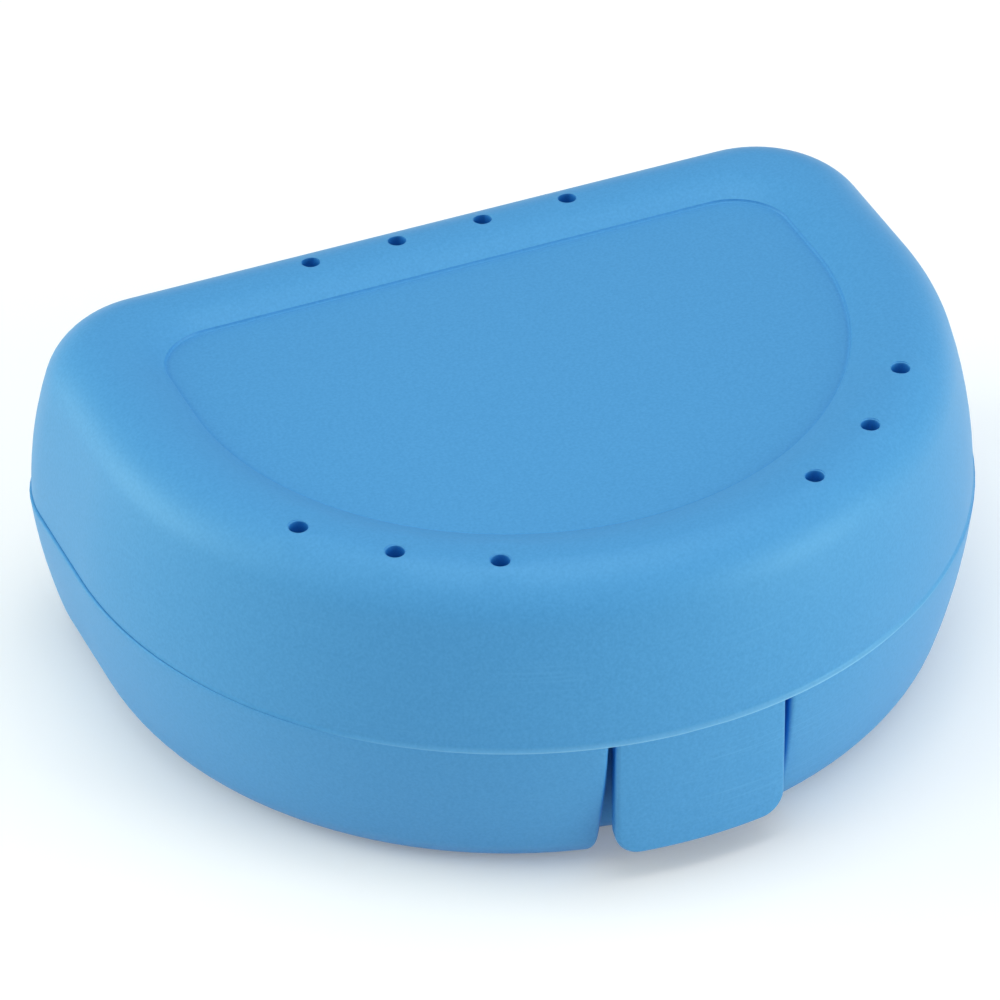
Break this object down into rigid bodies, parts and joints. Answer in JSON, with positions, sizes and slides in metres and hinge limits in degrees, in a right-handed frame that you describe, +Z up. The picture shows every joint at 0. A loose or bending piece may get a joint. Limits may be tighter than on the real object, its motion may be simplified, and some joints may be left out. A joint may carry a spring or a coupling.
{
  "type": "orthodontic retainer case",
  "caption": "D-shaped orthodontic retainer case: a vented lid with a sunk panel and a front latch tab, hinged to a tray at the back.",
  "frame": {"origin": "on the underside, below the centre of the round front's arc", "axes": "+X to the right, +Y to the hinges at the back, +Z up; the latch tab faces -Y"},
  "size_m": [0.0794, 0.0665, 0.0295],
  "materials": {
    "case_plastic": "satin moulded polypropylene, light blue",
    "pin_steel": "drawn stainless wire"
  },
  "bodies": {
    "tray": {"base_tray": "case_plastic", "hinge_pin_left": "pin_steel", "hinge_pin_right": "pin_steel"},
    "lid": {"lid": "case_plastic"}
  },
  "joints": [
    {"name": "lid_hinge", "type": "hinge", "parent": "tray", "child": "lid", "pos_m": [0, 0.0245, 0.0144], "axis": [-1, 0, 0], "range_deg": [0, 170]}
  ]
}
